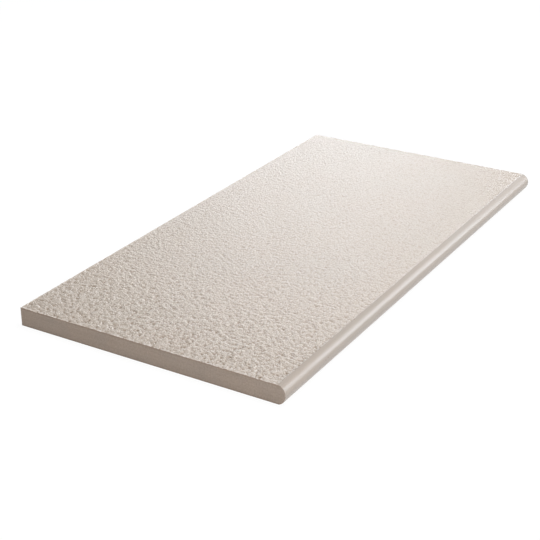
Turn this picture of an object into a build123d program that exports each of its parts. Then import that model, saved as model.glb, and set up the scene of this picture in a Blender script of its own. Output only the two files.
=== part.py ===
"""A clinker step tile: one fired slab with a textured tread and a rounded nosing along one long edge.

Millimetres. X runs across the tile, with the nosing at +X. Y runs along the nosing. Z is up.
The origin is the middle of the underside.
"""

from build123d import *

import math
import os

# Overall size of the fired tile
tile_length = 600.0  # along the nosing
tile_width = 300.0  # from the back edge to the foremost line of the nosing
tile_thickness = 20.0  # from the ribs of the underside to the tread

# The nosing is ground to one arc of a little more than half the thickness,
# so it meets the tread and the underside at a slight break
nosing_overcut = 0.6  # radius beyond half the thickness
nosing_break_ease = 1.0  # small radius that takes the sharpness off each break

# Small ground bevel round the two ends and along the back edge
arris = 0.3

# Pressed relief of the underside: a lattice of ribs round shallow cells, which keys into the mortar
cell_side = 20.0  # at the cell's mouth
rib_width = 4.0  # between neighbouring cells
cell_depth = 0.8
cell_draft = 30.0  # degrees, so that the pressed tile leaves its die
bed_margin = 12.0  # plain border round the lattice, at least this wide

# Corners of the section
back_x = -tile_width / 2
front_x = tile_width / 2
half_thickness = tile_thickness / 2
nosing_radius = half_thickness + nosing_overcut
nosing_centre_x = front_x - nosing_radius
break_x = nosing_centre_x + math.sqrt(nosing_radius**2 - half_thickness**2)

# Whole cells that the flat part of the underside holds inside its border
cell_pitch = cell_side + rib_width
bed_width = break_x - back_x
bed_middle_x = (break_x + back_x) / 2
cells_across = int((bed_width - 2 * bed_margin + rib_width) // cell_pitch)
cells_along = int((tile_length - 2 * bed_margin + rib_width) // cell_pitch)

# The hollow of one cell, which narrows from its mouth to its floor
with BuildPart() as cell:
    with BuildSketch(Plane.XY):
        Rectangle(cell_side, cell_side)
    extrude(amount=cell_depth, taper=cell_draft)

with BuildPart() as tile:
    # Section of the slab with its nosing, drawn on one end and run along the tile
    with BuildSketch(Plane.XZ.offset(tile_length / 2)) as section:
        with BuildLine():
            Polyline(
                (break_x, 0),
                (back_x, 0),
                (back_x, tile_thickness),
                (break_x, tile_thickness),
            )
            ThreePointArc(
                (break_x, tile_thickness),
                (front_x, half_thickness),
                (break_x, 0),
            )
        make_face()
        nosing_breaks = section.vertices().group_by(Axis.X)[-1]
        fillet(nosing_breaks, radius=nosing_break_ease)
    extrude(amount=-tile_length)

    # Bevels round both ends, and along the top and bottom of the back edge
    end_edges = tile.faces().filter_by(Axis.Y).edges()
    back_edges = tile.edges().filter_by(Axis.Y).group_by(Axis.X)[0]
    chamfer(end_edges + back_edges, length=arris)

    # Cells of the underside
    with Locations((bed_middle_x, 0, 0)):
        with GridLocations(cell_pitch, cell_pitch, cells_across, cells_along):
            add(cell.part, mode=Mode.SUBTRACT)

tile.part.label = "clinker_tile"
os.makedirs("parts", exist_ok=True)
export_step(tile.part, "parts/clinker_tile.step")
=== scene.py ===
"""The looks of a clinker step tile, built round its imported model. Metres, in the model's own frame."""

import math

import bmesh
import bpy
import numpy as np
from mathutils import Euler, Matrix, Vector


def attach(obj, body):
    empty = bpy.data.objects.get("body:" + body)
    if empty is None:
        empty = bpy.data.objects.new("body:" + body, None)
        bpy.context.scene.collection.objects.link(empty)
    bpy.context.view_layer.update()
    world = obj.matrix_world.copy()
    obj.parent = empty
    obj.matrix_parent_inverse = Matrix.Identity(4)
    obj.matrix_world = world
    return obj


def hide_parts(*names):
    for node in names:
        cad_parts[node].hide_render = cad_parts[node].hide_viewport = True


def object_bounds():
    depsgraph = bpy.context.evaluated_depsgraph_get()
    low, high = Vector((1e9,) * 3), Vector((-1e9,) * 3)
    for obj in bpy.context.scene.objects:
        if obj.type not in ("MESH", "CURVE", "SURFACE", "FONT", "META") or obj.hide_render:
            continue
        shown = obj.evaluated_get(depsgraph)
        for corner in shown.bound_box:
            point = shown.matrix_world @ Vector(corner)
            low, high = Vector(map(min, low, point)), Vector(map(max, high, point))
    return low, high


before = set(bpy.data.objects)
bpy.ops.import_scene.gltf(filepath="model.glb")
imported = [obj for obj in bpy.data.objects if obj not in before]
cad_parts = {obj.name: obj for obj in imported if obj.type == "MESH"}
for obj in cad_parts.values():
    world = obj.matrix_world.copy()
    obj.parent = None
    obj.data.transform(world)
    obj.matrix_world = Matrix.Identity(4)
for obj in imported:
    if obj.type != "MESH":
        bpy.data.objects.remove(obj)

cad_low, cad_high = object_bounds()

# The camera looks down on the near end of the tile from a little way off its nosing side,
# through a short telephoto lens, as a product photographer sets it up on a tripod.
camera_place = (0.62157, -1.11891, 0.57557)
camera_down = math.radians(25.138)
camera_turn = math.radians(30.760)
lens_length = 83.904  # this and the film's width are in millimetres
film_width = 36.0
nearest_seen = 0.01

camera_data = bpy.data.cameras.new("camera")
camera_data.lens = lens_length
camera_data.sensor_width = film_width
camera_data.clip_start = nearest_seen
camera = bpy.data.objects.new("camera", camera_data)
camera.location = camera_place
camera.rotation_euler = Euler((math.pi / 2 - camera_down, 0, camera_turn))
bpy.context.scene.collection.objects.link(camera)
bpy.context.scene.camera = camera
bpy.context.scene.view_settings.view_transform = "Standard"


# The slab is one piece of dry-pressed clay, fired until it is dense. It is stored lying on its
# ribs, and its two ends and its back edge are ground square, with a small bevel round each.
tile_thickness = cad_high.z - cad_low.z
back_x = cad_low.x
front_x = cad_high.x
end_y = cad_high.y
arris = 0.0003
inner_end_y = end_y - arris
weld_gap = 1e-6

# The finishes, in the order in which their materials are given to the mesh
TREAD, GROUND, JOINT, BED = range(4)

slab = bmesh.new()


def face(corners, finish, smooth=False):
    made = slab.faces.new(corners)
    made.material_index = finish
    made.smooth = smooth


def sheet(lines, finish, smooth=False):
    """Faces between neighbouring lines of points, each line as long as the next."""
    for near, far in zip(lines, lines[1:]):
        for a, b, c, d in zip(near, far, far[1:], near[1:]):
            face((a, b, c, d), finish, smooth)


def seam(fine, coarse, finish, along, smooth=False):
    """Triangles between two lines of points that run the same way at different spacings."""
    i = j = 0
    while i < len(fine) - 1 or j < len(coarse) - 1:
        ends = j == len(coarse) - 1
        if ends or (i < len(fine) - 1 and along(fine[i + 1]) <= along(coarse[j + 1])):
            face((fine[i], coarse[j], fine[i + 1]), finish, smooth)
            i += 1
        else:
            face((fine[i], coarse[j], coarse[j + 1]), finish, smooth)
            j += 1


# The tread takes its relief from a die cut to look like split stone: close-set chips of a few
# millimetres, each with its own tilt, with dark crevices between them. It keeps a foot from
# slipping in the wet. Here it gets shallower towards the far end.
relief_depth = 0.0018
relief_far_share = 0.25
relief_fade_length = 0.16
relief_at_edge = 0.4
relief_edge_width = 0.0015
chip_size = 0.0042
small_chip_size = 0.0028
chip_tilt = 1.3
chip_bend = 0.0024
bend_size = 1.3 * chip_size
pit_spacing = 0.0054
pit_share = 0.40
pit_width = 0.34
pit_depth = 0.45
level_width = 0.0035
grit_depth = 0.05
lowest_kept = 0.3  # this and the next are percentages of the points
highest_kept = 99.8
tread_spacing = 0.00142

# What a chip's own level, its falling sides and the crevice round it add to the height of the
# stone, and the width of that crevice as a share of the chip
chip_heights = (0.38, 0.26, 0.20, 0.34)
small_chip_heights = (0.26, 0.17, 0.12, 0.4)

# The random draws fill a square that repeats, and the tile starts well inside it
draw_side = 512
draw_start = 200


def smooth_steps(low, high, value):
    share = np.clip((value - low) / (high - low), 0, 1)
    return share * share * (3 - 2 * share)


def hills(x, y, size, seed):
    """Smooth random hills about one size across, from 0 to 1."""
    heights = np.random.default_rng(seed).random((draw_side, draw_side))
    u, v = x / size + draw_start, y / size + draw_start
    i, j = np.floor(u).astype(int), np.floor(v).astype(int)
    across, along = smooth_steps(0, 1, u - i), smooth_steps(0, 1, v - j)
    i, j = i % (draw_side - 1), j % (draw_side - 1)
    near = heights[i, j] * (1 - across) + heights[i + 1, j] * across
    far = heights[i, j + 1] * (1 - across) + heights[i + 1, j + 1] * across
    return near * (1 - along) + far * along


def chips(x, y, size, seed):
    """Chips of stone round scattered centres: how far each point is from its own chip's middle,
    how near it is to the next chip, and the level of its own tilted face."""
    draws = np.random.default_rng(seed).random((5, draw_side, draw_side))
    middle_u, middle_v, raised, tilt_u, tilt_v = draws
    u, v = x / size + draw_start, y / size + draw_start
    i, j = np.floor(u).astype(int), np.floor(v).astype(int)
    nearest = np.full(x.shape, np.inf)
    next_nearest = np.full(x.shape, np.inf)
    level = np.zeros(x.shape)
    for step_i in (-1, 0, 1):
        for step_j in (-1, 0, 1):
            own = (i + step_i) % draw_side, (j + step_j) % draw_side
            away_u = u - (i + step_i + middle_u[own])
            away_v = v - (j + step_j + middle_v[own])
            gap = np.hypot(away_u, away_v)
            tilt = away_u * (tilt_u[own] - 0.5) + away_v * (tilt_v[own] - 0.5)
            tilted = raised[own] + chip_tilt * tilt
            closer = gap < nearest
            next_nearest = np.where(closer, nearest, np.minimum(next_nearest, gap))
            level = np.where(closer, tilted, level)
            nearest = np.where(closer, gap, nearest)
    return nearest, next_nearest - nearest, level


def averaged(height, width):
    """The height averaged round each point with a bell curve that is width points to its shoulder."""
    rows_turn, columns_turn = np.fft.fftfreq(height.shape[0]), np.fft.fftfreq(height.shape[1])
    bell = np.exp(-2 * (math.pi * width)**2 * (rows_turn[:, None]**2 + columns_turn**2))
    return np.fft.ifft2(np.fft.fft2(height) * bell).real


def chipped(x, y, size, heights, seed):
    """Height of close-set chips of one size."""
    level_share, side_share, crevice_share, crevice_width = heights
    middle, border, level = chips(x, y, size, seed)
    crevices = 1 - smooth_steps(0, crevice_width, border)
    return level_share * level - side_share * middle**2 - crevice_share * crevices


def split_stone(x, y):
    """Depth of the relief below the highest points, from 0 to 1. A few stray points are cut off
    at both ends, so that the rest takes up the whole of it."""
    drift_x = chip_bend * (hills(x, y, bend_size, seed=3) - 0.5)
    drift_y = chip_bend * (hills(x, y, bend_size, seed=4) - 0.5)
    height = chipped(x + drift_x, y + drift_y, chip_size, chip_heights, seed=5)
    height += chipped(x - drift_y, y + drift_x, small_chip_size, small_chip_heights, seed=6)
    middle, border, level = chips(x + 2 * drift_x, y - 2 * drift_y, pit_spacing, seed=9)
    pits = smooth_steps(0, 1, np.clip(1 - middle / pit_width, 0, 1))
    height -= pit_depth * pits * (level > 1 - pit_share)
    height -= averaged(height, level_width / tread_spacing)
    height += grit_depth * np.random.default_rng(seed=8).normal(size=x.shape)
    low, high = np.percentile(height, lowest_kept), np.percentile(height, highest_kept)
    return 1 - np.clip((height - low) / (high - low), 0, 1)


# The relief stops at a straight line where the wheel that grinds the nosing starts to cut. The
# first column of points lies on that line, and the next one starts the relief beside it.
relief_stop = 0.00803
strip_depth = 0.00004
cut_wall = 0.0002
relief_x = front_x - relief_stop

columns = round((relief_x - back_x - arris) / tread_spacing) + 1
rows = round(2 * inner_end_y / tread_spacing) + 1
tread_x, tread_y = np.meshgrid(
    np.append(relief_x, np.linspace(relief_x - cut_wall, back_x + arris, columns)),
    np.linspace(-inner_end_y, inner_end_y, rows),
)
to_edge = np.minimum(tread_x - back_x - arris, inner_end_y - np.abs(tread_y))
depth = split_stone(tread_x, tread_y)
depth *= relief_at_edge + (1 - relief_at_edge) * smooth_steps(0, relief_edge_width, to_edge)
depth *= relief_far_share + (1 - relief_far_share) * np.exp(-(tread_y + end_y) / relief_fade_length)
depth *= relief_depth
depth[:, 0] = strip_depth
tread = [
    [slab.verts.new((x, y, cad_high.z - below)) for x, y, below in zip(*line)]
    for line in zip(tread_x, tread_y, depth)
]
sheet(tread, TREAD, smooth=True)


# The nosing is ground to one arc of a little more than half the thickness, after a narrow strip
# that rounds over to it from the relief. The wheel leaves it satin, and matt near the underside.
# Its rows stand on the pitch lines of the lattice below, which its lower edge is joined to.
nosing_overcut = 0.0006
strip_slope = math.radians(16.5)
arc_start = math.radians(32)
cell_side = 0.020
rib_width = 0.004
cell_depth = 0.0008
cell_draft = math.radians(30)
bed_margin = 0.012
strip_steps = 7
arc_steps = 22
polished_steps = 15

nosing_radius = tile_thickness / 2 + nosing_overcut
nosing_x = front_x - nosing_radius
nosing_z = cad_low.z + tile_thickness / 2
break_turn = math.acos((tile_thickness / 2) / nosing_radius)
break_x = nosing_x + nosing_radius * math.sin(break_turn)
pitch = cell_side + rib_width
bed_middle_x = (back_x + break_x) / 2
cells_across = int((break_x - back_x - 2 * bed_margin) // pitch)
cells_along = int((2 * end_y - 2 * bed_margin) // pitch)
pitch_x = [bed_middle_x + (i - cells_across / 2) * pitch for i in range(cells_across + 1)]
pitch_y = [(i - cells_along / 2) * pitch for i in range(cells_along + 1)]
row_y = [-inner_end_y] + pitch_y + [inner_end_y]

# Section from the relief over the strip and round the arc to the underside. The strip is bent
# towards the point where its first slope meets the slope that the arc starts with.
strip_z = cad_high.z - strip_depth
arc_x = nosing_x + nosing_radius * math.sin(arc_start)
arc_z = nosing_z + nosing_radius * math.cos(arc_start)
rise = arc_z + arc_x * math.tan(arc_start) - strip_z - relief_x * math.tan(strip_slope)
bend_x = rise / (math.tan(arc_start) - math.tan(strip_slope))
bend_z = strip_z - (bend_x - relief_x) * math.tan(strip_slope)
section = []
for step in range(1, strip_steps):
    share = step / strip_steps
    parts = (1 - share)**2, 2 * share * (1 - share), share**2
    section.append((
        parts[0] * relief_x + parts[1] * bend_x + parts[2] * arc_x,
        parts[0] * strip_z + parts[1] * bend_z + parts[2] * arc_z,
    ))
for step in range(arc_steps + 1):
    turn = arc_start + (math.pi - break_turn - arc_start) * step / arc_steps
    section.append((nosing_x + nosing_radius * math.sin(turn), nosing_z + nosing_radius * math.cos(turn)))
nosing = [[slab.verts.new((x, y, z)) for x, z in section] for y in row_y]
polished = strip_steps + polished_steps
sheet([line[:polished] for line in nosing], GROUND, smooth=True)
sheet([line[polished - 1:] for line in nosing], JOINT, smooth=True)


def along_y(vertex):
    return vertex.co.y


seam([line[0] for line in tread], [line[0] for line in nosing], GROUND, along_y, smooth=True)


# The underside is a pressed lattice of ribs round shallow cells, which keys into the mortar. The
# cells have drafted sides, so that the pressed tile leaves its die, and a plain border round them.
corner_radius = 0.0025
corner_steps = 4


def cell_loop(middle_x, middle_y, side, radius, z):
    """A square with rounded corners, run anticlockwise from the right side as seen from above."""
    loop = []
    for corner in range(4):
        for step in range(corner_steps):
            turn = math.pi / 2 * (corner + step / (corner_steps - 1))
            centre_x = (side / 2 - radius) * (1 if corner in (0, 3) else -1)
            centre_y = (side / 2 - radius) * (1 if corner in (0, 1) else -1)
            x = middle_x + centre_x + radius * math.cos(turn)
            y = middle_y + centre_y + radius * math.sin(turn)
            loop.append(slab.verts.new((x, y, z)))
    return loop


bed_x = [back_x + arris] + pitch_x
bed = [
    [slab.verts.new((x, y, cad_low.z)) for x in bed_x] + [line[-1]]
    for y, line in zip(row_y, nosing)
]
last_row, last_column = len(row_y) - 2, len(bed_x) - 1
floor_side = cell_side - 2 * cell_depth * math.tan(cell_draft)
for i in range(last_row + 1):
    for j in range(last_column + 1):
        square = [bed[i][j], bed[i][j + 1], bed[i + 1][j + 1], bed[i + 1][j]]
        if i in (0, last_row) or j in (0, last_column):
            face(square, BED)
            continue
        middle_x = (square[0].co.x + square[2].co.x) / 2
        middle_y = (square[0].co.y + square[2].co.y) / 2
        rim = cell_loop(middle_x, middle_y, cell_side, corner_radius, cad_low.z)
        bottom = cell_loop(middle_x, middle_y, floor_side, corner_radius, cad_low.z + cell_depth)
        corners = [square[2], square[3], square[0], square[1]]
        for corner in range(4):
            here, after = corners[corner], corners[(corner + 1) % 4]
            first = corner * corner_steps
            for step in range(first, first + corner_steps - 1):
                face((here, rim[step], rim[step + 1]), BED)
            last = first + corner_steps - 1
            face((here, rim[last], rim[(last + 1) % len(rim)], after), BED)
        for step in range(len(rim)):
            after = (step + 1) % len(rim)
            face((rim[step], bottom[step], bottom[after], rim[after]), BED, smooth=True)
        face(bottom, BED)

# The back edge is ground square, to lie against the next tile or the riser: a bevel under the
# relief, the ground face, and a bevel down to the underside.
back_top = [slab.verts.new((back_x, line[-1].co.y, line[-1].co.z - arris)) for line in tread]
back_foot = [slab.verts.new((back_x, y, cad_low.z + arris)) for y in row_y]
sheet([[line[-1] for line in tread], back_top], JOINT)
seam(back_top, back_foot, JOINT, along_y)
sheet([back_foot, [line[0] for line in bed]], JOINT)

# The two ends are ground square in the same way. The bevel runs all round, drawn in from the
# outline of the section, and it is satin only beside the satin part of the nosing.
draw_in = (nosing_radius - arris) / nosing_radius
for row in (0, -1):
    outline = list(reversed(tread[row])) + nosing[row] + list(reversed(bed[row][:-1]))
    outline += [back_foot[row], back_top[row]]
    face_y = math.copysign(end_y, outline[0].co.y)
    inner = []
    for vertex in outline:
        x, z = vertex.co.x, vertex.co.z
        if x > relief_x and z > cad_low.z:
            x = nosing_x + (x - nosing_x) * draw_in
            z = nosing_z + (z - nosing_z) * draw_in
        elif x > back_x and z > nosing_z:
            z -= arris
        x = max(x, back_x + arris)
        z = max(z, cad_low.z + arris)
        inner.append(slab.verts.new((x, face_y, z)))
    for i in range(len(outline)):
        after = (i + 1) % len(outline)
        satin = outline[i] in nosing[row][:polished] and outline[after] in nosing[row]
        face((outline[i], inner[i], inner[after], outline[after]), GROUND if satin else JOINT)
    face(inner, JOINT)

bmesh.ops.remove_doubles(slab, verts=slab.verts, dist=weld_gap)
bmesh.ops.recalc_face_normals(slab, faces=slab.faces)
for edge in slab.edges:
    finishes = {side.material_index for side in edge.link_faces}
    edge.smooth = len(finishes) == 1 and all(side.smooth for side in edge.link_faces)
tile_data = bpy.data.meshes.new("fired_tile")
slab.to_mesh(tile_data)
slab.free()
tile = bpy.data.objects.new("fired_tile", tile_data)
bpy.context.scene.collection.objects.link(tile)
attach(tile, "root")
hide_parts("clinker_tile")


# Every face shows the same clay, which fires to a warm pale taupe with faint pinkish and
# greyish clouds, a fine sandy grain and a few dark and rust-red mineral specks.
plain_clay = (0.4, 0.33, 0.27, 1)
pinkish_clay = (0.4, 0.3, 0.25, 1)
greyish_clay = (0.4, 0.35, 0.3, 1)
dark_speck = (0.19, 0.15, 0.12, 1)
rust_speck = (0.29, 0.16, 0.10, 1)

# The sockets of a Mix node of colours: its factor, its two colours and the mixed one
FACTOR, FIRST, SECOND, MIXED = 0, 6, 7, 2


def add(tree, kind, settings=None, values=None):
    made = tree.nodes.new(kind)
    for name, value in (settings or {}).items():
        setattr(made, name, value)
    for name, value in (values or {}).items():
        made.inputs[name].default_value = value
    return made


def new_group(name, inputs, outputs):
    """A node group with its named sockets: a name, a kind and a starting value for each input."""
    group = bpy.data.node_groups.new(name, "ShaderNodeTree")
    for label, kind, value in inputs:
        kind = "NodeSocket" + kind
        socket = group.interface.new_socket(name=label, in_out="INPUT", socket_type=kind)
        if value is not None:
            socket.default_value = value
    for label, kind in outputs:
        kind = "NodeSocket" + kind
        group.interface.new_socket(name=label, in_out="OUTPUT", socket_type=kind)
    return group, group.nodes.new("NodeGroupInput"), group.nodes.new("NodeGroupOutput")


# Clouds: slow drifts of tone between the plain clay, a pinker one and a greyer one
clouds, given, result = new_group(
    "kiln_clouds",
    [
        ("Vector", "Vector", None),
        ("Clay", "Color", plain_clay),
        ("Pink Clay", "Color", pinkish_clay),
        ("Grey Clay", "Color", greyish_clay),
        ("Cloud Scale", "Float", 9.0),
        ("Amount", "Float", 0.5),
    ],
    [("Colour", "Color")],
)
pink_noise = add(clouds, "ShaderNodeTexNoise", values={"Detail": 3.0, "Roughness": 0.55})
pink_share = add(clouds, "ShaderNodeMapRange", values={"From Min": 0.45, "From Max": 0.75})
pink_mix = add(clouds, "ShaderNodeMix", {"data_type": "RGBA"})
shift = add(clouds, "ShaderNodeVectorMath", {"operation": "ADD"}, {1: (3.7, 1.9, 0.0)})
grey_noise = add(clouds, "ShaderNodeTexNoise", values={"Detail": 3.0, "Roughness": 0.55})
grey_share = add(clouds, "ShaderNodeMapRange", values={"From Min": 0.45, "From Max": 0.75})
grey_mix = add(clouds, "ShaderNodeMix", {"data_type": "RGBA"})
for start, end in (
    (given.outputs["Vector"], pink_noise.inputs["Vector"]),
    (given.outputs["Cloud Scale"], pink_noise.inputs["Scale"]),
    (pink_noise.outputs["Fac"], pink_share.inputs["Value"]),
    (given.outputs["Amount"], pink_share.inputs["To Max"]),
    (pink_share.outputs["Result"], pink_mix.inputs[FACTOR]),
    (given.outputs["Clay"], pink_mix.inputs[FIRST]),
    (given.outputs["Pink Clay"], pink_mix.inputs[SECOND]),
    (given.outputs["Vector"], shift.inputs[0]),
    (shift.outputs["Vector"], grey_noise.inputs["Vector"]),
    (given.outputs["Cloud Scale"], grey_noise.inputs["Scale"]),
    (grey_noise.outputs["Fac"], grey_share.inputs["Value"]),
    (given.outputs["Amount"], grey_share.inputs["To Max"]),
    (grey_share.outputs["Result"], grey_mix.inputs[FACTOR]),
    (pink_mix.outputs[MIXED], grey_mix.inputs[FIRST]),
    (given.outputs["Grey Clay"], grey_mix.inputs[SECOND]),
    (grey_mix.outputs[MIXED], result.inputs["Colour"]),
):
    clouds.links.new(start, end)


def light_and_dark(group, given, noise, result):
    """The group's Colour, made lighter and darker by its Tint where the noise is high and low."""
    darkest = add(group, "ShaderNodeMath", {"operation": "SUBTRACT"}, {0: 1.0})
    lightest = add(group, "ShaderNodeMath", {"operation": "ADD"}, {0: 1.0})
    tone = add(group, "ShaderNodeMapRange", values={"From Min": 0.3, "From Max": 0.7})
    tinted = add(group, "ShaderNodeVectorMath", {"operation": "SCALE"})
    for start, end in (
        (given.outputs["Tint"], darkest.inputs[1]),
        (given.outputs["Tint"], lightest.inputs[1]),
        (noise.outputs["Fac"], tone.inputs["Value"]),
        (darkest.outputs["Value"], tone.inputs["To Min"]),
        (lightest.outputs["Value"], tone.inputs["To Max"]),
        (given.outputs["Colour"], tinted.inputs[0]),
        (tone.outputs["Result"], tinted.inputs["Scale"]),
        (tinted.outputs["Vector"], result.inputs["Colour"]),
    ):
        group.links.new(start, end)


# Grain: the sand of the pressed powder, as a height and as a light and dark tint
grain, given, result = new_group(
    "sandy_grain",
    [
        ("Vector", "Vector", None),
        ("Colour", "Color", plain_clay),
        ("Grain Scale", "Float", 900.0),
        ("Tint", "Float", 0.1),
    ],
    [("Colour", "Color"), ("Height", "Float")],
)
sand = add(grain, "ShaderNodeTexNoise", values={"Detail": 4.0, "Roughness": 0.6})
for start, end in (
    (given.outputs["Vector"], sand.inputs["Vector"]),
    (given.outputs["Grain Scale"], sand.inputs["Scale"]),
    (sand.outputs["Fac"], result.inputs["Height"]),
):
    grain.links.new(start, end)
light_and_dark(grain, given, sand, result)

# Streaks: the faint lines that the grinding wheel leaves along the way that it runs
streaks, given, result = new_group(
    "wheel_streaks",
    [
        ("Vector", "Vector", None),
        ("Colour", "Color", plain_clay),
        ("Lines a Metre", "Vector", (15.0, 15.0, 600.0)),
        ("Tint", "Float", 0.04),
    ],
    [("Colour", "Color")],
)
drawn_out = add(streaks, "ShaderNodeVectorMath", {"operation": "MULTIPLY"})
lines = add(streaks, "ShaderNodeTexNoise", values={"Scale": 1.0, "Detail": 3.0, "Roughness": 0.6})
for start, end in (
    (given.outputs["Vector"], drawn_out.inputs[0]),
    (given.outputs["Lines a Metre"], drawn_out.inputs[1]),
    (drawn_out.outputs["Vector"], lines.inputs["Vector"]),
):
    streaks.links.new(start, end)
light_and_dark(streaks, given, lines, result)

# Specks: scattered mineral grains that melt dark in the kiln, some of them rust-red
specks, given, result = new_group(
    "mineral_specks",
    [
        ("Vector", "Vector", None),
        ("Colour", "Color", plain_clay),
        ("Speck Scale", "Float", 260.0),
        ("Share", "Float", 0.03),
        ("Size", "Float", 0.2),
    ],
    [("Colour", "Color")],
)
scatter = add(specks, "ShaderNodeTexVoronoi", {"feature": "F1"})
draws = add(specks, "ShaderNodeSeparateColor")
chosen = add(specks, "ShaderNodeMath", {"operation": "LESS_THAN"})
inside = add(specks, "ShaderNodeMapRange", values={"To Min": 1.0, "To Max": 0.0})
full_inside = add(specks, "ShaderNodeMath", {"operation": "MULTIPLY"}, {1: 0.5})
mask = add(specks, "ShaderNodeMath", {"operation": "MULTIPLY"})
rust_or_dark = add(specks, "ShaderNodeMix", {"data_type": "RGBA"}, {
    FIRST: dark_speck,
    SECOND: rust_speck,
})
speckled = add(specks, "ShaderNodeMix", {"data_type": "RGBA"})
for start, end in (
    (given.outputs["Vector"], scatter.inputs["Vector"]),
    (given.outputs["Speck Scale"], scatter.inputs["Scale"]),
    (scatter.outputs["Color"], draws.inputs["Color"]),
    (draws.outputs["Red"], chosen.inputs[0]),
    (given.outputs["Share"], chosen.inputs[1]),
    (given.outputs["Size"], full_inside.inputs[0]),
    (full_inside.outputs["Value"], inside.inputs["From Min"]),
    (given.outputs["Size"], inside.inputs["From Max"]),
    (scatter.outputs["Distance"], inside.inputs["Value"]),
    (inside.outputs["Result"], mask.inputs[0]),
    (chosen.outputs["Value"], mask.inputs[1]),
    (draws.outputs["Green"], rust_or_dark.inputs[FACTOR]),
    (mask.outputs["Value"], speckled.inputs[FACTOR]),
    (given.outputs["Colour"], speckled.inputs[FIRST]),
    (rust_or_dark.outputs[MIXED], speckled.inputs[SECOND]),
    (speckled.outputs[MIXED], result.inputs["Colour"]),
):
    specks.links.new(start, end)


def fired_clay(name, clay, pink, grey, cloud_scale, cloud_amount, grain_scale, grain_tint, speck_share,
               roughness, bump):
    """A material of fired clay, and the nodes of it that a finish adds to."""
    material = bpy.data.materials.new(name)
    material.use_nodes = True
    tree = material.node_tree
    shader = tree.nodes["Principled BSDF"]
    shader.inputs["Roughness"].default_value = roughness
    place = add(tree, "ShaderNodeTexCoord")
    cloudy = add(tree, "ShaderNodeGroup", {"node_tree": clouds}, {
        "Clay": clay,
        "Pink Clay": pink,
        "Grey Clay": grey,
        "Cloud Scale": cloud_scale,
        "Amount": cloud_amount,
    })
    grainy = add(tree, "ShaderNodeGroup", {"node_tree": grain}, {
        "Grain Scale": grain_scale,
        "Tint": grain_tint,
    })
    speckly = add(tree, "ShaderNodeGroup", {"node_tree": specks}, {"Share": speck_share})
    raised = add(tree, "ShaderNodeBump", values={"Strength": 1.0, "Distance": bump})
    for start, end in (
        (place.outputs["Object"], cloudy.inputs["Vector"]),
        (place.outputs["Object"], grainy.inputs["Vector"]),
        (place.outputs["Object"], speckly.inputs["Vector"]),
        (cloudy.outputs["Colour"], grainy.inputs["Colour"]),
        (grainy.outputs["Colour"], speckly.inputs["Colour"]),
        (speckly.outputs["Colour"], shader.inputs["Base Color"]),
        (grainy.outputs["Height"], raised.inputs["Height"]),
        (raised.outputs["Normal"], shader.inputs["Normal"]),
    ):
        tree.links.new(start, end)
    return material, place, grainy, speckly, raised, shader


# Tread: the stone breaks into still finer chips than the relief has, which show as a bump, with painted
# shade darkening the crevices between them
finest_chip_scale = 370.0
finest_crevice_width = 0.16
finest_crevice_shade = (0.85, 0.81, 0.77, 1)
sand_share = 0.5
tread_clay, place, grainy, coloured, raised, shader = fired_clay(
    "tread_clay",
    clay=(0.43, 0.367, 0.31, 1),
    pink=(0.436, 0.364, 0.308, 1),
    grey=(0.422, 0.371, 0.321, 1),
    cloud_scale=8,
    cloud_amount=0.6,
    grain_scale=700,
    grain_tint=0.07,
    speck_share=0.02,
    roughness=0.5,
    bump=0.00015,
)
tree = tread_clay.node_tree
bent = add(tree, "ShaderNodeTexNoise", values={"Scale": 260.0, "Detail": 2.0})
bend_by = add(tree, "ShaderNodeVectorMath", {"operation": "SCALE"}, {"Scale": 0.0022})
bent_place = add(tree, "ShaderNodeVectorMath", {"operation": "ADD"})
finest_chips = add(tree, "ShaderNodeTexVoronoi", {"feature": "F1"}, {"Scale": finest_chip_scale})
chip_edges = add(tree, "ShaderNodeTexVoronoi", {"feature": "DISTANCE_TO_EDGE"}, {
    "Scale": finest_chip_scale,
})
crevice = add(tree, "ShaderNodeMapRange", values={
    "From Min": 0.0,
    "From Max": finest_crevice_width,
    "To Min": 1.0,
    "To Max": 0.0,
})
chip_level = add(tree, "ShaderNodeSeparateColor")
chip_top = add(tree, "ShaderNodeMath", {"operation": "SUBTRACT"})
chip_height = add(tree, "ShaderNodeMath", {"operation": "SUBTRACT"})
sandy_height = add(tree, "ShaderNodeMath", {"operation": "MULTIPLY_ADD"}, {1: sand_share})
# Painted shade: the colour is darkened in the crevices between the finest chips.
shaded_crevices = add(tree, "ShaderNodeMix", {"data_type": "RGBA", "blend_type": "MULTIPLY"}, {
    SECOND: finest_crevice_shade,
})
for start, end in (
    (place.outputs["Object"], bent.inputs["Vector"]),
    (bent.outputs["Color"], bend_by.inputs[0]),
    (place.outputs["Object"], bent_place.inputs[0]),
    (bend_by.outputs["Vector"], bent_place.inputs[1]),
    (bent_place.outputs["Vector"], finest_chips.inputs["Vector"]),
    (bent_place.outputs["Vector"], chip_edges.inputs["Vector"]),
    (chip_edges.outputs["Distance"], crevice.inputs["Value"]),
    (finest_chips.outputs["Color"], chip_level.inputs["Color"]),
    (chip_level.outputs["Blue"], chip_top.inputs[0]),
    (finest_chips.outputs["Distance"], chip_top.inputs[1]),
    (chip_top.outputs["Value"], chip_height.inputs[0]),
    (crevice.outputs["Result"], chip_height.inputs[1]),
    (grainy.outputs["Height"], sandy_height.inputs[0]),
    (chip_height.outputs["Value"], sandy_height.inputs[2]),
    (sandy_height.outputs["Value"], raised.inputs["Height"]),
):
    tree.links.new(start, end)
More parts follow.
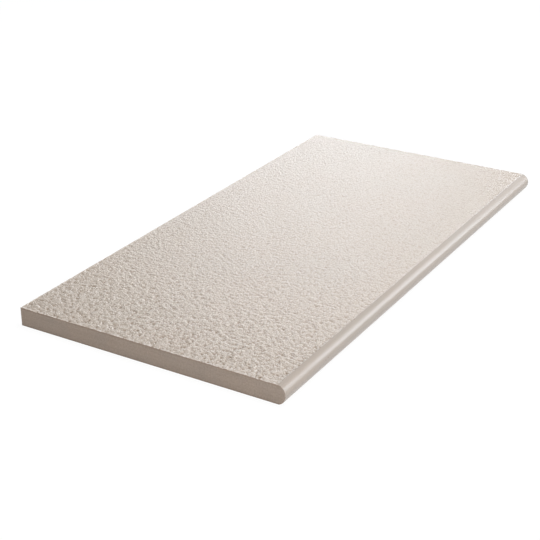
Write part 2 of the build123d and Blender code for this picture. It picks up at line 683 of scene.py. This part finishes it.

# The hollows of the relief are painted darker and browner than the tops of the chips: painted shade.
# How hollow a point is goes by its depth as a share of the full depth at that place along the tile.
hollow_shade_colour = (0.56, 0.48, 0.40, 1)
hollow_from = 0.42
hollow_to = 0.85
height = add(tree, "ShaderNodeSeparateXYZ")
from_top = add(tree, "ShaderNodeMath", {"operation": "MULTIPLY_ADD"}, {
    1: -1 / relief_depth,
    2: cad_high.z / relief_depth,
})
from_end = add(tree, "ShaderNodeMath", {"operation": "MULTIPLY_ADD"}, {
    1: -1 / relief_fade_length,
    2: -end_y / relief_fade_length,
})
fading = add(tree, "ShaderNodeMath", {"operation": "EXPONENT"})
full_depth = add(tree, "ShaderNodeMath", {"operation": "MULTIPLY_ADD"}, {
    1: 1 - relief_far_share,
    2: relief_far_share,
})
depth_share = add(tree, "ShaderNodeMath", {"operation": "DIVIDE"})
hollow = add(tree, "ShaderNodeMapRange", {"interpolation_type": "SMOOTHSTEP"}, {
    "From Min": hollow_from,
    "From Max": hollow_to,
})
hollow_shade_amount = add(tree, "ShaderNodeMath", {"operation": "MULTIPLY"})
shaded_hollows = add(tree, "ShaderNodeMix", {"data_type": "RGBA", "blend_type": "MULTIPLY"}, {
    SECOND: hollow_shade_colour,
})
for start, end in (
    (place.outputs["Object"], height.inputs["Vector"]),
    (height.outputs["Z"], from_top.inputs[0]),
    (height.outputs["Y"], from_end.inputs[0]),
    (from_end.outputs["Value"], fading.inputs[0]),
    (fading.outputs["Value"], full_depth.inputs[0]),
    (from_top.outputs["Value"], depth_share.inputs[0]),
    (full_depth.outputs["Value"], depth_share.inputs[1]),
    (depth_share.outputs["Value"], hollow.inputs["Value"]),
    (hollow.outputs["Result"], hollow_shade_amount.inputs[0]),
    (full_depth.outputs["Value"], hollow_shade_amount.inputs[1]),
    (hollow_shade_amount.outputs["Value"], shaded_hollows.inputs[FACTOR]),
    (coloured.outputs["Colour"], shaded_hollows.inputs[FIRST]),
    (shaded_hollows.outputs[MIXED], shaded_crevices.inputs[FIRST]),
    (crevice.outputs["Result"], shaded_crevices.inputs[FACTOR]),
    (shaded_crevices.outputs[MIXED], shader.inputs["Base Color"]),
):
    tree.links.new(start, end)

# Strip and nosing: ground smooth along the tile, with a satin gloss
ground_clay, place, grainy, coloured, raised, shader = fired_clay(
    "ground_clay",
    clay=(0.32, 0.274, 0.234, 1),
    pink=(0.326, 0.272, 0.232, 1),
    grey=(0.314, 0.277, 0.241, 1),
    cloud_scale=10,
    cloud_amount=0.6,
    grain_scale=1500,
    grain_tint=0.03,
    speck_share=0.01,
    roughness=0.27,
    bump=0.00001,
)
tree = ground_clay.node_tree
wheel = add(tree, "ShaderNodeGroup", {"node_tree": streaks}, {
    "Lines a Metre": (400.0, 7.0, 400.0),
    "Tint": 0.025,
})
for start, end in (
    (place.outputs["Object"], wheel.inputs["Vector"]),
    (coloured.outputs["Colour"], wheel.inputs["Colour"]),
    (wheel.outputs["Colour"], shader.inputs["Base Color"]),
):
    tree.links.new(start, end)

# Ends, back edge and the foot of the nosing: ground dry and matt, and darker towards the top and
# bottom faces than in the middle of the thickness
darker_band_depth = 0.0024
darker_band_colour = (0.80, 0.76, 0.72, 1)
joint_clay, place, grainy, coloured, raised, shader = fired_clay(
    "joint_clay",
    clay=(0.385, 0.305, 0.248, 1),
    pink=(0.41, 0.328, 0.27, 1),
    grey=(0.362, 0.296, 0.248, 1),
    cloud_scale=45,
    cloud_amount=0.9,
    grain_scale=620,
    grain_tint=0.14,
    speck_share=0.008,
    roughness=0.8,
    bump=0.00004,
)
tree = joint_clay.node_tree
wheel = add(tree, "ShaderNodeGroup", {"node_tree": streaks}, {
    "Lines a Metre": (14.0, 14.0, 420.0),
    "Tint": 0.05,
})
height = add(tree, "ShaderNodeSeparateXYZ")
from_middle = add(tree, "ShaderNodeMath", {"operation": "SUBTRACT"}, {1: (cad_low.z + cad_high.z) / 2})
to_face = add(tree, "ShaderNodeMath", {"operation": "ABSOLUTE"})
near_faces_share = add(tree, "ShaderNodeMapRange", values={
    "From Min": tile_thickness / 2 - darker_band_depth,
    "From Max": tile_thickness / 2 - arris,
})
darker_near_faces = add(tree, "ShaderNodeMix", {"data_type": "RGBA", "blend_type": "MULTIPLY"}, {
    SECOND: darker_band_colour,
})
for start, end in (
    (place.outputs["Object"], wheel.inputs["Vector"]),
    (coloured.outputs["Colour"], wheel.inputs["Colour"]),
    (place.outputs["Object"], height.inputs["Vector"]),
    (height.outputs["Z"], from_middle.inputs[0]),
    (from_middle.outputs["Value"], to_face.inputs[0]),
    (to_face.outputs["Value"], near_faces_share.inputs["Value"]),
    (near_faces_share.outputs["Result"], darker_near_faces.inputs[FACTOR]),
    (wheel.outputs["Colour"], darker_near_faces.inputs[FIRST]),
    (darker_near_faces.outputs[MIXED], shader.inputs["Base Color"]),
):
    tree.links.new(start, end)

# Underside: as pressed, dry and sandy
bed_clay, *_ = fired_clay(
    "bed_clay",
    clay=(0.45, 0.375, 0.31, 1),
    pink=(0.46, 0.37, 0.305, 1),
    grey=(0.44, 0.38, 0.325, 1),
    cloud_scale=8,
    cloud_amount=0.7,
    grain_scale=600,
    grain_tint=0.08,
    speck_share=0.03,
    roughness=0.85,
    bump=0.00012,
)

for finish in (tread_clay, ground_clay, joint_clay, bed_clay):
    tile_data.materials.append(finish)


# The tile lies on a plain pale table, much wider than the tile. The table looks white to the
# camera and in reflections, and keeps a faint shadow of the tile.
table_width = 12.0
table_colour = (0.45, 0.45, 0.45, 1)
white_light = (1, 1, 1, 1)
veil_strength = 1.09
veil_share = 0.88


def seen_or_mirrored(tree):
    """1 for what the camera sees, also in a gloss or through glass, and 0 for light on the tile."""
    rays = add(tree, "ShaderNodeLightPath")
    seen = add(tree, "ShaderNodeMath", {"operation": "MAXIMUM"})
    seen_through = add(tree, "ShaderNodeMath", {"operation": "MAXIMUM"})
    for start, end in (
        (rays.outputs["Is Camera Ray"], seen.inputs[0]),
        (rays.outputs["Is Glossy Ray"], seen.inputs[1]),
        (seen.outputs["Value"], seen_through.inputs[0]),
        (rays.outputs["Is Transmission Ray"], seen_through.inputs[1]),
    ):
        tree.links.new(start, end)
    return seen_through.outputs["Value"]


floor_data = bpy.data.meshes.new("table")
half = table_width / 2
corners = [(-half, -half, 0), (half, -half, 0), (half, half, 0), (-half, half, 0)]
floor_data.from_pydata(corners, [], [(0, 1, 2, 3)])
floor = bpy.data.objects.new("table", floor_data)
floor.location.z = cad_low.z
bpy.context.scene.collection.objects.link(floor)
table_paint = bpy.data.materials.new("table_paint")
table_paint.use_nodes = True
tree = table_paint.node_tree
tree.nodes.remove(tree.nodes["Principled BSDF"])
paint = add(tree, "ShaderNodeBsdfDiffuse", values={"Color": table_colour})
veil = add(tree, "ShaderNodeEmission", values={"Color": white_light, "Strength": veil_strength})
veiled = add(tree, "ShaderNodeMixShader")
veil_part = add(tree, "ShaderNodeMath", {"operation": "MULTIPLY"}, {1: veil_share})
for start, end in (
    (seen_or_mirrored(tree), veil_part.inputs[0]),
    (veil_part.outputs["Value"], veiled.inputs[0]),
    (paint.outputs["BSDF"], veiled.inputs[1]),
    (veil.outputs["Emission"], veiled.inputs[2]),
    (veiled.outputs["Shader"], tree.nodes["Material Output"].inputs["Surface"]),
):
    tree.links.new(start, end)
floor_data.materials.append(table_paint)


# The room is pale all round: its walls give a faint light from every side, and they are white
# where they are seen or mirrored.
wall_light = 0.15
room = bpy.data.worlds.new("studio_room")
room.use_nodes = True
tree = room.node_tree
faint = tree.nodes["Background"]
faint.inputs["Color"].default_value = white_light
faint.inputs["Strength"].default_value = wall_light
white = add(tree, "ShaderNodeBackground", values={"Color": white_light, "Strength": 1.0})
walls = add(tree, "ShaderNodeMixShader")
for start, end in (
    (seen_or_mirrored(tree), walls.inputs[0]),
    (faint.outputs["Background"], walls.inputs[1]),
    (white.outputs["Background"], walls.inputs[2]),
    (walls.outputs["Shader"], tree.nodes["World Output"].inputs["Surface"]),
):
    tree.links.new(start, end)
bpy.context.scene.world = room


# Three windows behind the tile give it a slightly cool daylight, the left one most of it. White
# softboxes hang over the tile, to its right and in front of it on the right.
daylight = (0.87, 0.935, 1)


def softbox(name, turn, rise, distance, width, height, power, tint=(1, 1, 1)):
    """A lamp aimed at the tile: turned clockwise from straight behind it, and raised, in degrees."""
    lamp = bpy.data.lights.new(name, "AREA")
    lamp.shape = "RECTANGLE"
    lamp.size = width
    lamp.size_y = height
    lamp.energy = power
    lamp.color = tint
    box = bpy.data.objects.new(name, lamp)
    raised = Euler((math.radians(rise), 0, 0)).to_matrix() @ Vector((0, distance, 0))
    box.location = Euler((0, 0, -math.radians(turn))).to_matrix() @ raised
    box.rotation_euler = (-box.location).to_track_quat("-Z", "Y").to_euler()
    box.visible_camera = False
    bpy.context.scene.collection.objects.link(box)


softbox("left_window", turn=-28, rise=13, distance=4.0, width=1.3, height=0.7, power=58, tint=daylight)
softbox("back_window", turn=0, rise=22, distance=3.0, width=2.4, height=1.2, power=10, tint=daylight)
softbox("right_window", turn=42, rise=14, distance=2.0, width=1.1, height=0.86, power=13.5, tint=daylight)
softbox("top_softbox", turn=45, rise=74, distance=2.0, width=0.9, height=0.5, power=32)
softbox("side_softbox", turn=100, rise=10, distance=2.0, width=0.7, height=0.5, power=15)
softbox("front_softbox", turn=150, rise=12, distance=2.0, width=0.6, height=0.28, power=15)
